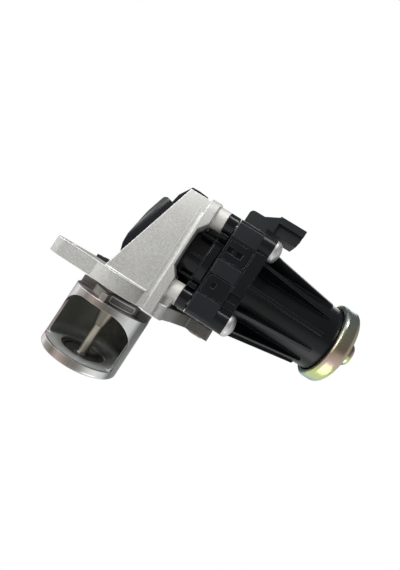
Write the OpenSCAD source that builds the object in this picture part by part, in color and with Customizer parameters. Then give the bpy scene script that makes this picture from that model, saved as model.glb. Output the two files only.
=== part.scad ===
// Electric exhaust gas recirculation valve, in millimetres.
// The origin is the centre of the flange's mounting face, on the valve stem's axis.
// +Z runs up the stem, and +X runs along the motor towards its end cap.

/* [Mounting flange] */
// Thickness of the machined flange
flange_t = 10.3; // [8:0.1:12]
// Radius of the flange around the valve axis
flange_r = 28.5; // [28:0.1:31]
// How far the cast underside stands clear of the mounting face
cast_relief = 1.1; // [0.5:0.1:2]
// Distance of the left bolt hole from the valve axis along X
left_bolt_x = 40; // [38:0.5:50]
// Distance of the left bolt hole in front of the valve axis
left_bolt_y = 14.5; // [8:0.5:18]
// Radius of the left ear around its bolt hole
left_ear_r = 9.3; // [8:0.1:12]
// Distance of the right bolt hole from the valve axis along X
right_bolt_x = 57.5; // [54:0.5:66]
// Distance of the right bolt hole behind the valve axis
right_bolt_y = 24.9; // [20:0.1:30]
// Radius of the right ear around its bolt hole
right_ear_r = 9.9; // [8.5:0.1:12]
// Thickness of the right ear, pad included
right_ear_t = 9.6; // [7:0.1:10]
// Radius of the machined pad under the right ear
ear_pad_r = 6; // [5:0.5:8]
// Diameter of the flange bolt holes
bolt_hole_d = 6.6; // [5.5:0.1:8.5]

/* [Valve cage] */
// Outside diameter of the cage
cage_d = 54.4; // [50:0.2:56]
// Length of the cage below the mounting face
cage_len = 52.4; // [46:0.2:60]
// Wall of the cage around the gas chamber
cage_wall = 1.7; // [1.4:0.1:4]
// Thickness of the floor ring that holds the seat
cage_floor_t = 5.8; // [5:0.1:9]
// Height of the shelf above the gas chamber's roof
cage_roof_t = 4; // [3:0.1:6]
// Distance of the cage's shelf below the mounting face
shelf_depth = 8.6; // [7:0.1:12]
// Gap between the flange and the top of the cage's neck
neck_gap = 3.6; // [2:0.1:5]
// Diameter of the neck
neck_d = 32.6; // [26:0.2:40]
// Diameter of the hub between the neck and the flange
hub_d = 21; // [18:0.5:25]
// Depth of the flange's recess for the hub
hub_seat = 0.8; // [0.5:0.1:1.5]
// Diameter of the pilot pressed into the flange
pilot_d = 16; // [14:0.5:17]
// Length of the pilot pressed into the flange
pilot_len = 8; // [5:0.5:8.5]
// Thickness of the ribs round the neck
rib_t = 3.7; // [2:0.1:6]
// Gap between the ribs' ends and the cage's outside
rib_inset = 0.2; // [0.2:0.1:3]
// Half the width of the gas window
window_half_w = 26; // [18:0.5:26]
// Depth of the window's side walls in front of the axis
window_front_y = 8.2; // [4:0.1:14]
// Distance of the window's top edge below the shelf
window_top_gap = 4.2; // [4:0.1:8]
// Radius of the window's upper corners
window_r = 17; // [4:0.5:17.5]
// Radius of the fillet round the chamber's floor
chamber_fillet = 3; // [1:0.5:4]
// Radius of the nose's outer edge
nose_round = 2; // [0.5:0.1:3]
// Diameter of the hole through the floor ring
seat_hole_d = 32.1; // [28:0.1:36]

/* [Valve and stem] */
// Diameter of the valve stem
stem_d = 6; // [5:0.1:7]
// Bore of the seat ring
seat_bore_d = 26.4; // [22:0.1:28]
// Height of the seat ring
seat_h = 2.4; // [2:0.1:3]
// Distance of the seat ring below the floor ring's top
seat_drop = 1.5; // [0.2:0.1:1.8]
// Width of the 45 degree sealing face
seat_chamfer = 1; // [0.5:0.1:1.5]
// Thickness of the valve head's rim
head_rim_t = 1.3; // [1:0.1:1.6]
// Outside diameter of the stem guide
guide_d = 9; // [8:0.1:11]
// Length of the guide's tapered nose below the roof
guide_nose = 12.6; // [6:0.2:14]
// Diameter at the tip of the guide's nose
guide_tip_d = 7.2; // [7.1:0.1:8]
// Outside diameter of the stem seal
seal_d = 14; // [12:0.5:18]
// Height of the stem seal
seal_h = 3.6; // [2:0.1:3.8]
// Mean diameter of the return spring
spring_d = 11.4; // [10.6:0.1:11.6]
// Diameter of the spring wire
spring_wire_d = 1.8; // [1.2:0.1:2]
// Number of working turns in the return spring
spring_turns = 5; // [4:1:7]

/* [Housing] */
// Half the depth of the housing's side walls
wall_y = 22; // [20:0.5:24]
// Thickness of the housing's walls
wall_t = 3.5; // [2.5:0.1:5]
// Height of the floor inside the housing
floor_z = 13; // [12.5:0.1:15]
// Height of the housing's top above the mounting face
top_z = 79; // [78.5:0.5:84]
// Distance of the cover's joint face from the valve axis at its foot
joint_x = 11.5; // [10:0.5:14]
// Height of the foot of the cover's joint face
joint_z = 11.5; // [11:0.1:13]
// Lean of the cover's joint face from upright
joint_lean = 15.9; // [12:0.1:17]
// Height of the motor axis above the mounting face
motor_z = 45.25; // [44:0.25:48]
// Distance of the motor plate from the valve axis
plate_x = 24.6; // [24:0.1:27]
// Thickness of the motor plate
plate_t = 6; // [5:0.1:8]
// Thickness of the web behind the gear housing
web_t = 1.8; // [1.4:0.1:3]
// Distance of the plate's corner centres and screws from the motor axis
screw_offset = 25.6; // [25:0.1:27]
// Radius of the plate's corners
plate_corner_r = 8.3; // [7.5:0.1:9]
// Radius of the screw standoffs and of the black screw sleeves
standoff_r = 7; // [6:0.1:7.3]
// Length of the standoffs
standoff_len = 7.5; // [6:0.1:10]
// Radius of the fillet between the side walls and the plate
plate_fillet = 4.5; // [2:0.5:6]
// Half the height of the notch that clears the gear housing
notch_half_h = 18.4; // [14:0.2:18.5]
// Height of the notch's slanted corners
notch_slant = 6; // [3:0.5:8]

/* [Crank and crosshead] */
// Radius from the motor axis to the crank pin
crank_r = 10; // [9:0.1:11]
// Angle that the crank turns from closed to open
crank_sweep = 40; // [30:1:44]
// Diameter of the crank pin
crank_pin_d = 4; // [3:0.1:5]
// Diameter of the roller on the crank pin
roller_d = 9; // [7:0.1:9.4]
// Width of the crosshead along X
crosshead_w = 7; // [6:0.1:8]
// Thickness of the bars above and below the crosshead's slot
crosshead_bar = 2.8; // [2:0.1:4]
// Diameter of the output shaft
output_d = 8; // [6:0.1:9]
// Length of the output shaft's bushes
bush_len = 4.5; // [3:0.1:5]
// Outside diameter of the output shaft's bushes
bush_d = 11; // [10.5:0.1:13]
// Diameter of the crank disc
crank_disc_d = 28; // [27:0.5:30]
// Thickness of the crank disc
crank_disc_t = 3.2; // [2.5:0.1:4]

/* [Planetary gears] */
// Module of the gears
gear_module = 0.7; // [0.65:0.01:0.72]
// Teeth of the sun pinion on the motor shaft
sun_teeth = 12; // [12:12:12]
// Teeth of each planet gear
planet_teeth = 18; // [18:18:18]
// Width of the gears
gear_w = 5; // [4:0.1:6]
// Pressure angle of the teeth
pressure_angle = 25; // [22:1:27]
// Play between meshing teeth
backlash = 0.12; // [0.08:0.01:0.2]
// Diameter of the planet pins
planet_pin_d = 3; // [2.5:0.1:4]

/* [Gear housing] */
// Radius of the gear housing's body
gear_body_r = 26; // [25:0.1:26.5]
// Radius of its cavity
gear_cavity_r = 20.2; // [19.5:0.1:21]
// Thickness of its screw flange
gear_flange_t = 6.4; // [5:0.1:8]
// Height of the raised pads on its flange
pad_rise = 2; // [1:0.1:3]
// Half the height of the raised pads
pad_half_h = 13.4; // [10:0.2:16]

/* [Motor housing] */
// Width of the motor housing's square block along X
block_w = 24.6; // [22:0.2:28]
// Width of the block's screw flange along X
block_flange_w = 8; // [6:0.2:10]
// How far the flange's sides lie behind the block's front
block_step = 1.6; // [0.8:0.1:3]
// Outside radius of the motor barrel
barrel_r = 22.5; // [22:0.1:23]
// Wall of the motor barrel
barrel_wall = 2.1; // [1.6:0.1:2.6]
// Distance from the block to the barrel's end flange
barrel_len = 61; // [56:0.5:66]
// How far the barrel's end flange stands out
end_flange_rise = 2.9; // [2.4:0.1:3.2]
// Thickness of the barrel's end flange
end_flange_t = 3.6; // [3:0.1:5]
// How far the ribs' roots stand out past the block
rib_rise = 0.4; // [0:0.1:1]
// How far the ribs stand out from the barrel at their far end
rib_end_rise = 1.5; // [1:0.1:2.5]
// Length of the ribs
rib_len = 51.6; // [44:0.2:56]
// Thickness of the ribs
barrel_rib_t = 2.2; // [1.6:0.1:3]
// Number of ribs
rib_count = 12; // [4:4:12]
// Depth of the pockets in the block's sides
pocket_depth = 1.6; // [0.8:0.1:3]

/* [Motor] */
// Diameter of the rotor shaft
shaft_d = 5; // [4:0.1:5.4]
// Thickness of the steel ring round the magnets
flux_t = 2.1; // [1.6:0.1:2.6]
// Length of the armature
armature_len = 44; // [36:1:48]
// Air gap between the armature and the magnets
air_gap = 0.7; // [0.5:0.1:1]
// Thickness of the magnets
magnet_t = 4; // [3:0.1:4.2]
// Outside radius of the shaft bearings
bearing_r = 6.5; // [6:0.1:6.7]

/* [End cap] */
// Thickness of the cap's sheet
cap_sheet = 1.2; // [1:0.1:1.4]
// Clearance between the barrel and the cap's rolled lip
cap_mouth_gap = 1; // [0.7:0.1:1.5]
// Radius of the cap's shoulder
cap_shoulder = 4; // [2:0.5:5]
// Depth of the cap over the end flange
cap_depth = 10.2; // [9.6:0.1:12]
// Radius of the bearing boss
cap_boss_r = 8; // [7.8:0.1:9]
// Length of the bearing boss
cap_boss_len = 10; // [8:0.2:12]

/* [Connector] */
// Half the width of the connector
conn_half_w = 10; // [8:0.2:12]
// Length of the connector's base along X
conn_base_len = 15.6; // [14:0.2:18]
// Height of the base above the motor housing
conn_base_h = 14.2; // [12:0.2:16]
// Distance of the socket's root from the block's front
socket_start = 20; // [16:0.5:24]
// Length of the socket along X
socket_len = 18.2; // [16:0.2:22]
// Height of the socket
socket_h = 12; // [11:0.2:14]
// Height of the socket's top above the motor housing
socket_top = 20; // [18:0.2:22]
// Wall of the socket
socket_wall = 1.6; // [1.2:0.1:2]
// Number of contact pins
pin_count = 5; // [2:1:6]
// Spacing of the contact pins
pin_pitch = 2.7; // [2.5:0.1:3]

/* [Cover] */
// Depth of the cover's dome at its top end
cover_deep = 11.8; // [10:0.1:13]
// Depth of the cover at half of its length
cover_mid = 9.1; // [8:0.1:10]
// Length of the cover's dome along the joint face
cover_dome_len = 56.5; // [50:0.5:60]
// Half the width of the cover's dome
cover_half_w = 17; // [14:0.5:18]
// Radius of the dome's upright edges
cover_round = 7; // [3:0.5:8]
// Wall of the cover
cover_wall = 2; // [1.6:0.1:2.6]
// Thickness of the cover's rim
cover_rim_t = 2.2; // [1.8:0.1:2.6]
// Depth of the housing's recess for the cover's rim
cover_recess = 3; // [2.8:0.1:3.6]
// Width of the housing's lip round the cover
cover_lip = 1.7; // [1.2:0.1:2.2]
// Thickness of the cover's gasket
gasket_t = 1; // [0.6:0.1:1.4]
// Length of the sensor's circuit board
board_len = 8; // [6:0.5:8.5]
// Width of the sensor's circuit board
board_w = 18; // [12:0.5:20]
// How far the cover's head stands past the housing's top
cover_head = 4.7; // [4:0.1:5.5]

/* [Screws] */
// Diameter of the housing screws
screw_d = 5; // [4:0.1:6]
// Diameter of the domed heads
screw_head_d = 14.4; // [10:0.2:14.6]
// Height of the domed heads
screw_head_h = 5.6; // [4:0.1:6.5]
// Diameter of the cover screws
cover_screw_d = 3; // [2.5:0.1:3.5]

/* [Fits] */
// Radial clearance of shafts in their bearings
run_fit = 0.03; // [0.02:0.01:0.06]
// Clearance between parts that must not touch
gap = 0.3; // [0.2:0.05:0.4]

/* [Hidden] */
$fn = 64;

// Levels of the valve cage
cage_r = cage_d / 2;
nose_z = -cage_len;
ring_top_z = nose_z + cage_floor_t;
shelf_z = -shelf_depth;
roof_z = shelf_z - cage_roof_t;
window_top_z = shelf_z - window_top_gap;
seat_top_z = ring_top_z - seat_drop;
seat_low_z = seat_top_z - seat_h;
guide_tip_z = roof_z - guide_nose;
seal_z = floor_z - seal_h;

// Levels of the drive
lift = 2 * crank_r * sin(crank_sweep / 2);
crank_rest = 180 - crank_sweep / 2;
slot_z = motor_z + crank_r * sin(crank_rest);
slot_half_h = roller_d / 2 + 0.1;
crosshead_low = slot_z - slot_half_h - crosshead_bar;
crosshead_top = slot_z + slot_half_h + crosshead_bar;
slot_y0 = -crank_r - 3;
slot_y1 = -crank_r * cos(crank_sweep / 2) + roller_d / 2 + 0.6;
ring_teeth = sun_teeth + 2 * planet_teeth;
planet_dist = gear_module * (sun_teeth + planet_teeth) / 2;
addendum = 0.8 * gear_module;
dedendum = 1.05 * gear_module;

// Stations along the motor axis
plate_right = plate_x + plate_t;
gear_face_x = plate_x + web_t;
flange_x = plate_right + standoff_len;
gasket_x = flange_x + gear_flange_t;
motor_gasket_t = 0.8;
block_x = gasket_x + motor_gasket_t;
block_end = block_x + block_w;
end_flange_x = block_end + barrel_len;
cap_lip_x = end_flange_x - 1.8;
cap_face_x = cap_lip_x + cap_depth;
block_half = screw_offset + standoff_r;
barrel_bore_r = barrel_r - barrel_wall;
end_flange_r = barrel_r + end_flange_rise;
cap_r = end_flange_r + gap + cap_sheet;
cap_mouth_r = barrel_r + cap_mouth_gap;
magnet_r = barrel_bore_r - flux_t - magnet_t;
armature_r = magnet_r - air_gap;
gear_end_wall = 1.6;
carrier_x = gear_face_x + gear_end_wall + gap;
carrier_t = 2;
planet_x = carrier_x + carrier_t + gap;
ring_x = planet_x;
bearing_plate_x = planet_x + gear_w + 2.4;
bearing_plate_t = 3;
crank_x = plate_x - 17.4;
boss_x = crank_x + crank_disc_t + 1.2;
boss_r = bush_d / 2 + 3;
armature_x = block_end - 4;

// A solid of revolution about the motor axis, from a profile of [distance from the axis, x]
module turned_on_motor(profile) {
    translate([0, 0, motor_z]) rotate([0, 90, 0]) rotate_extrude() polygon(profile);
}

// A rod along the motor axis or beside it, with its centre given in the plane across the axis
module rod_x(x0, x1, r, y = 0, z = 0) {
    translate([x0, y, motor_z + z]) rotate([0, 90, 0]) cylinder(r = r, h = x1 - x0);
}

// Extrudes a [y, z] outline along X, with z counted from the motor axis
module across_motor(x0, x1) {
    translate([x0, 0, motor_z]) rotate([90, 0, 90]) linear_extrude(x1 - x0) children();
}

// Extrudes an [x, z] outline along Y
module side_profile(y0, y1) {
    translate([0, y1, 0]) rotate([90, 0, 0]) linear_extrude(y1 - y0) children();
}

// Moves [depth, y, height] pieces onto the leaning joint face, with depth pointing away from the housing
module on_joint() {
    translate([-joint_x, 0, joint_z]) rotate([0, joint_lean, 0]) mirror([1, 0, 0]) children();
}

module at_screws() {
    for (y = [-1, 1], z = [-1, 1]) translate([0, y * screw_offset, motor_z + z * screw_offset]) children();
}

// A square with round corners, centred on the motor axis
module round_square(half, r) {
    square([2 * (half - r), 2 * half], center = true);
    square([2 * half, 2 * (half - r)], center = true);
    for (y = [-1, 1], z = [-1, 1]) translate([y * (half - r), z * (half - r)]) circle(r);
}

// Flange outline that lies on the mounting face
module machined_outline() {
    circle(flange_r);
    hull() {
        for (x = [-left_bolt_x, -flange_r / 2]) translate([x, -left_bolt_y]) circle(left_ear_r, $fn = 40);
        translate([-flange_r / 2, left_bolt_y]) circle(left_ear_r, $fn = 40);
    }
}

// Outline of the rough casting that carries the motor plate and the right ear
module cast_outline() {
    ear_front = right_bolt_y - right_ear_r;
    ear_end = right_bolt_x + right_ear_r;
    offset(r = 2.5, $fn = 32) offset(delta = -2.5) polygon([
        [0, -wall_y], [plate_x, -wall_y], [plate_x, -block_half], [plate_right + 6, -block_half],
        [plate_right + 6, -wall_y], [plate_right + 10, -wall_y / 3], [ear_front + 34, ear_front],
        [ear_end, ear_front], [ear_end, right_bolt_y + right_ear_r], [plate_right, block_half],
        [plate_x, block_half], [0, flange_r - 4]
    ]);
}

// Height of the joint face's edge at a given distance from the valve axis
function joint_at(z) = -joint_x + (z - joint_z) * tan(joint_lean);

// Outline of the housing's side walls, seen from the front
module wedge_outline(inset = 0) {
    polygon([
        [joint_at(flange_t - 1), flange_t - 1], [joint_at(top_z), top_z], [plate_x + 1, top_z],
        [plate_x + 1, flange_t - 1]
    ]);
}

module plate_outline() {
    half = screw_offset + plate_corner_r;
    round_square(half, plate_corner_r);
    translate([-half, cast_relief + 0.4 - motor_z]) square([2 * half, 20]);
}

module notch_outline() {
    x0 = gear_face_x;
    polygon([
        [x0, motor_z - notch_half_h + notch_slant], [x0, motor_z + notch_half_h - notch_slant],
        [plate_right + 0.1, motor_z + notch_half_h], [plate_right + 0.1, motor_z - notch_half_h]
    ]);
}

module plate_fillets() {
    for (side = [-1, 1]) difference() {
        translate([plate_x - plate_fillet, min(side * (wall_y - 0.5), side * (wall_y + plate_fillet)), flange_t - 1])
            cube([plate_fillet + 0.5, plate_fillet + 0.5, motor_z + screw_offset - flange_t]);
        translate([plate_x - plate_fillet, side * (wall_y + plate_fillet), 0])
            cylinder(r = plate_fillet + 0.05, h = 100);
    }
}

module flange_solid() {
    linear_extrude(flange_t) machined_outline();
    translate([0, 0, cast_relief]) linear_extrude(right_ear_t - cast_relief) cast_outline();
    translate([right_bolt_x, right_bolt_y, 0]) cylinder(r = ear_pad_r, h = right_ear_t);
}

module housing_solid() {
    flange_solid();
    side_profile(-wall_y, wall_y) wedge_outline();
    across_motor(plate_x, plate_right) plate_outline();
    plate_fillets();
    at_screws() translate([plate_right - 1, 0, 0]) rotate([0, 90, 0]) cylinder(r = standoff_r, h = standoff_len + 1);
    for (side = [-1, 1]) translate([plate_right - 1, side * screw_offset - 5, cast_relief + 1])
        cube([6.4, 10, motor_z - screw_offset - cast_relief - 1]);
}

module valve_housing() {
    color("silver") difference() {
        union() {
            difference() {
                housing_solid();
                side_profile(-wall_y + wall_t, wall_y - wall_t) polygon([
                    [-40, floor_z], [-40, top_z - wall_t], [plate_x, top_z - wall_t], [plate_x, floor_z]
                ]);
            }
            rod_x(boss_x, plate_x + 0.5, boss_r);
            cover_screw_bosses();
        }
        rod_x(gear_face_x, plate_right + 0.1, gear_body_r + gap / 2);
        rod_x(boss_x - 1, gear_face_x + 1, bush_d / 2);
        side_profile(-60, -gear_cavity_r) notch_outline();
        side_profile(gear_cavity_r, 60) notch_outline();
        for (p = [[-left_bolt_x, -left_bolt_y], [right_bolt_x, right_bolt_y]])
            translate([p[0], p[1], -1]) cylinder(d = bolt_hole_d, h = flange_t + 2);
        translate([0, 0, -1]) cylinder(d = pilot_d, h = pilot_len + 1);
        translate([0, 0, -1]) cylinder(r = hub_d / 2 + gap, h = hub_seat + 1);
        cylinder(r = stem_d / 2 + gap, h = floor_z + 1);
        translate([0, 0, seal_z]) cylinder(d = seal_d, h = floor_z);
        at_screws() translate([plate_right - 2, 0, 0]) rotate([0, 90, 0]) cylinder(d = screw_d, h = standoff_len + 3);
        on_joint() cover_screw_places() translate([-11, 0, 0]) rotate([0, 90, 0])
            cylinder(d = cover_screw_d, h = 12, $fn = 32);
        on_joint() translate([-cover_recess, -rim_half - 0.2, rim_start - 0.2])
            cube([cover_recess + 5, 2 * rim_half + 0.4, rim_end - rim_start + 0.4]);
    }
}

// Places of the cover's screws on the joint face
rim_half = wall_y - cover_lip;
rim_start = 0.8;
rim_end = (top_z - joint_z) / cos(joint_lean) - cover_lip;
cover_screw_y = rim_half - cover_screw_d - 0.4;
cover_screw_s = [rim_start + 5.2, rim_end - 4];
module cover_screw_places() {
    for (y = [-1, 1], s = cover_screw_s) translate([0, y * cover_screw_y, s]) children();
}

module cover_screw_bosses() {
    intersection() {
        on_joint() cover_screw_places() translate([-11, 0, 0]) rotate([0, 90, 0]) cylinder(r = 3.4, h = 11, $fn = 32);
        translate([-40, -wall_y + 0.5, flange_t]) cube([80, 2 * wall_y - 1, top_z - flange_t - 0.5]);
    }
}

module cage_profile() {
    polygon(concat(
        [[seat_hole_d / 2, nose_z]],
        [for (a = [0 : 15 : 90]) [cage_r - nose_round + nose_round * sin(a), nose_z + nose_round - nose_round * cos(a)]],
        [[cage_r, shelf_z], [neck_d / 2, shelf_z], [neck_d / 2, -neck_gap], [hub_d / 2, -neck_gap], [hub_d / 2, hub_seat],
         [pilot_d / 2, hub_seat], [pilot_d / 2, pilot_len], [guide_d / 2, pilot_len], [guide_d / 2, roof_z - 4],
         [guide_d / 2 + 1, roof_z - 4], [guide_d / 2 + 3, roof_z],
         [cage_r - cage_wall, roof_z]],
        [for (a = [0 : 22.5 : 90]) [cage_r - cage_wall - chamber_fillet + chamber_fillet * cos(a),
            ring_top_z + chamber_fillet - chamber_fillet * sin(a)]],
        [[seat_hole_d / 2, ring_top_z]]
    ));
}

module window_outline() {
    low = ring_top_z;
    high = window_top_z;
    translate([-window_half_w, low]) square([2 * window_half_w, high - low - window_r]);
    translate([-window_half_w + window_r, low]) square([2 * (window_half_w - window_r), high - low]);
    for (side = [-1, 1]) translate([side * (window_half_w - window_r), high - window_r]) circle(window_r);
}

module valve_cage() {
    color("gainsboro") difference() {
        union() {
            rotate_extrude($fn = 128) cage_profile();
            for (a = [0 : 90 : 270]) rotate([0, 0, a]) translate([neck_d / 2 - 1, -rib_t / 2, shelf_z - 0.5])
                cube([cage_r - rib_inset - neck_d / 2 + 1, rib_t, shelf_depth - neck_gap + 0.5]);
            intersection() {
                translate([0, 0, shelf_z]) difference() {
                    cylinder(r = neck_d / 2 + 0.7, h = shelf_depth - neck_gap);
                    translate([0, 0, -1]) cylinder(r = neck_d / 2 - 1, h = shelf_depth);
                }
                translate([rib_t, -neck_d, shelf_z + 0.9]) cube([11, neck_d, shelf_depth - neck_gap - 1.6]);
            }
        }
        side_profile(-cage_r - 1, -window_front_y) window_outline();
    }
}

module seat_ring() {
    bore = seat_bore_d / 2;
    color("dimgray") rotate_extrude() polygon([
        [bore, seat_top_z], [seat_hole_d / 2, seat_top_z], [seat_hole_d / 2, seat_low_z],
        [bore + seat_chamfer, seat_low_z], [bore, seat_low_z + seat_chamfer]
    ]);
}

module stem_guide() {
    color("darkkhaki") rotate_extrude() polygon([
        [stem_d / 2 + run_fit, guide_tip_z], [guide_tip_d / 2, guide_tip_z], [guide_d / 2 - 0.2, roof_z - 4.2],
        [guide_d / 2 - 0.2, roof_z - 4], [guide_d / 2, roof_z - 4], [guide_d / 2, pilot_len],
        [stem_d / 2 + run_fit, pilot_len]
    ]);
}

module stem_seal() {
    color("black") rotate_extrude() polygon([
        [stem_d / 2 + run_fit, seal_z], [seal_d / 2, seal_z], [seal_d / 2, seal_z + seal_h],
        [seal_d / 2 - 1.2, seal_z + seal_h], [seal_d / 2 - 2, seal_z + 1.4], [stem_d / 2 + 1, seal_z + 1.4],
        [stem_d / 2 + run_fit, seal_z + 2.4]
    ]);
}

spring_seat_t = 1;
module spring_seat() {
    color("silver") rotate_extrude() polygon([
        [stem_d / 2 + gap, floor_z], [spring_d / 2 + spring_wire_d / 2 + 0.6, floor_z],
        [spring_d / 2 + spring_wire_d / 2 + 0.6, floor_z + spring_seat_t],
        [spring_d / 2 - spring_wire_d / 2 - 0.3, floor_z + spring_seat_t],
        [spring_d / 2 - spring_wire_d / 2 - 0.8, floor_z + spring_seat_t + 1.4],
        [stem_d / 2 + gap, floor_z + spring_seat_t + 1.4]
    ]);
}

// The return spring is a coil with one closed turn at each end
module return_spring() {
    r = spring_d / 2;
    w = spring_wire_d / 2;
    low = floor_z + spring_seat_t + w;
    high = crosshead_low - w;
    turns = spring_turns + 2;
    steps = 14 * turns;
    sides = 6;
    function climb(t) = let(n = t * turns)
        n < 1 ? n * 2 * w * 0.98
        : n > turns - 1 ? high - low - (turns - n) * 2 * w * 0.98
        : 2 * w * 0.98 + (n - 1) / spring_turns * (high - low - 4 * w * 0.98);
    points = [for (i = [0 : steps], k = [0 : sides - 1])
        let(t = i / steps, a = 360 * turns * t, b = 360 * k / sides + 30, c = r + w * cos(b))
        [c * cos(a), c * sin(a), low + climb(t) + w * 0.96 * sin(b)]];
    faces = concat(
        [[for (k = [0 : sides - 1]) k]],
        [for (i = [0 : steps - 1], k = [0 : sides - 1])
            let(j = (k + 1) % sides) [i * sides + k, (i + 1) * sides + k, (i + 1) * sides + j, i * sides + j]],
        [[for (k = [sides - 1 : -1 : 0]) steps * sides + k]]
    );
    color("lightsteelblue") polyhedron(points, faces);
}

module valve_stem() {
    color("rosybrown") rotate_extrude() polygon([
        [0, seat_low_z - head_rim_t + 0.2], [stem_d / 2, seat_low_z - head_rim_t + 0.2],
        [stem_d / 2, crosshead_top - 1.6], [stem_d / 2 - 0.6, crosshead_top - 1], [0, crosshead_top - 1]
    ]);
}

module valve_head() {
    rim = seat_bore_d / 2 + seat_chamfer;
    low = seat_low_z - head_rim_t;
    color("dimgray") rotate_extrude() polygon([
        [stem_d / 2, low + 0.2], [stem_d / 2 + 1, low], [rim, low], [rim, seat_low_z - 0.05],
        [rim - seat_chamfer - 0.4, seat_low_z + seat_chamfer + 0.35], [stem_d / 2 + 2.4, seat_low_z + 0.5],
        [stem_d / 2 + 0.7, seat_low_z + 1.3], [stem_d / 2, seat_low_z + 3]
    ]);
}

module crosshead() {
    hub_r = stem_d / 2 + 3.4;
    color("slategray") difference() {
        union() {
            translate([-crosshead_w / 2, slot_y0, crosshead_low])
                cube([crosshead_w, -slot_y0, crosshead_top - crosshead_low]);
            translate([0, 0, crosshead_low]) cylinder(r = hub_r, h = crosshead_top - crosshead_low);
        }
        translate([-crosshead_w, slot_y0 - 1, slot_z - slot_half_h])
            cube([2 * crosshead_w, slot_y1 - slot_y0 + 1, 2 * slot_half_h]);
        translate([0, 0, crosshead_low - 1]) cylinder(d = stem_d, h = crosshead_top - crosshead_low + 2);
        magnet_solid();
    }
}

// The magnet lies in a pocket of the crosshead's upper bar
magnet_w = 1.6;
module magnet_solid() {
    translate([-crosshead_w / 2, slot_y0 + 1, crosshead_top - crosshead_bar / 2 - 0.9]) cube([magnet_w, 6, 1.8]);
}

module sensor_magnet() {
    color("black") magnet_solid();
}

module output_crank() {
    pin_y = crank_r * cos(crank_rest);
    pin_z = crank_r * sin(crank_rest);
    color("dimgray") {
        rod_x(crank_x, crank_x + crank_disc_t, crank_disc_d / 2);
        rod_x(crank_x, boss_x - gap, output_d / 2 + 2);
        rod_x(crank_x, carrier_x, output_d / 2);
        rod_x(-crosshead_w / 2, crank_x + 1, crank_pin_d / 2, pin_y, pin_z);
    }
}

module crank_roller() {
    pin_y = crank_r * cos(crank_rest);
    pin_z = crank_r * sin(crank_rest);
    half = crosshead_w / 2 - 0.2;
    color("silver") difference() {
        rod_x(-half, half, roller_d / 2, pin_y, pin_z);
        rod_x(-half - 1, half + 1, crank_pin_d / 2 + run_fit, pin_y, pin_z);
    }
}

module output_bushes() {
    color("darkgoldenrod") for (x = [boss_x, gear_face_x - bush_len]) difference() {
        rod_x(x, x + bush_len, bush_d / 2);
        rod_x(x - 1, x + bush_len + 1, output_d / 2 + run_fit);
    }
}

module planet_carrier() {
    color("gray") difference() {
        rod_x(carrier_x, carrier_x + carrier_t, planet_dist + planet_pin_d / 2 + 1.4);
        for (k = [0 : 2]) rod_x(carrier_x - 1, carrier_x + carrier_t + 1, planet_pin_d / 2,
            planet_dist * cos(120 * k), planet_dist * sin(120 * k));
    }
}

module planet_pins() {
    color("silver") for (k = [0 : 2]) rod_x(carrier_x, planet_x + gear_w + 0.6, planet_pin_d / 2,
        planet_dist * cos(120 * k), planet_dist * sin(120 * k));
}

// Involute of an angle, in degrees
function involute(a) = tan(a) * 180 / PI - a;

// Half the angle that a tooth takes up at radius r, widened by the given play in millimetres
function tooth_half(r, teeth, play) = let(pitch_r = gear_module * teeth / 2, base_r = pitch_r * cos(pressure_angle))
    90 / teeth + play / pitch_r * 90 / PI + involute(pressure_angle) - involute(acos(min(1, base_r / r)));

// Outline of a toothed wheel between a root and a tip radius
function tooth_ring(teeth, root, tip, play) = [for (k = [0 : teeth - 1], s = [-1, 1], i = [0 : 3])
    let(base_r = gear_module * teeth / 2 * cos(pressure_angle), step = s < 0 ? i : 3 - i,
        r = step == 0 ? root : max(base_r, root) + (tip - max(base_r, root)) * step / 3,
        a = 360 * k / teeth + s * tooth_half(max(r, base_r), teeth, play))
    [r * cos(a), r * sin(a)]];

module spur_outline(teeth) {
    pitch_r = gear_module * teeth / 2;
    polygon(tooth_ring(teeth, pitch_r - dedendum, pitch_r + addendum, -backlash / 2));
}

module planet_gear(k) {
    y = planet_dist * cos(120 * k);
    z = planet_dist * sin(120 * k);
    color("khaki") translate([0, y, z]) difference() {
        across_motor(planet_x, planet_x + gear_w)
            rotate(120 * k + 180 + 180 / planet_teeth) spur_outline(planet_teeth);
        rod_x(planet_x - 1, planet_x + gear_w + 1, planet_pin_d / 2 + run_fit);
    }
}

module planet_gear_1() { planet_gear(0); }
module planet_gear_2() { planet_gear(1); }
module planet_gear_3() { planet_gear(2); }

module ring_gear() {
    pitch_r = gear_module * ring_teeth / 2;
    color("gray") difference() {
        rod_x(ring_x, ring_x + gear_w, gear_cavity_r);
        across_motor(ring_x - 1, ring_x + gear_w + 1) rotate(180 / ring_teeth)
            polygon(tooth_ring(ring_teeth, pitch_r - addendum, pitch_r + dedendum, backlash / 2));
    }
}

module sun_pinion() {
    color("goldenrod") difference() {
        across_motor(planet_x, planet_x + gear_w + 1) spur_outline(sun_teeth);
        rod_x(planet_x - 1, planet_x + gear_w + 2, shaft_d / 4);
    }
}

rear_bearing_x = cap_face_x + 0.4;
bearing_w = 5;
module rotor_shaft() {
    color("silver") {
        rod_x(planet_x, bearing_plate_x, shaft_d / 4);
        rod_x(planet_x + gear_w + 1, rear_bearing_x + bearing_w + 0.6, shaft_d / 2);
    }
}

module armature_core() {
    slots = 8;
    color("dimgray") difference() {
        rod_x(armature_x, armature_x + armature_len, armature_r);
        rod_x(armature_x - 1, armature_x + armature_len + 1, shaft_d / 2);
        for (k = [0 : slots - 1]) translate([armature_x - 1, 0, motor_z]) rotate([360 * k / slots, 0, 0])
            translate([0, -0.8, armature_r - 5]) cube([armature_len + 2, 1.6, 6]);
    }
}

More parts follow.
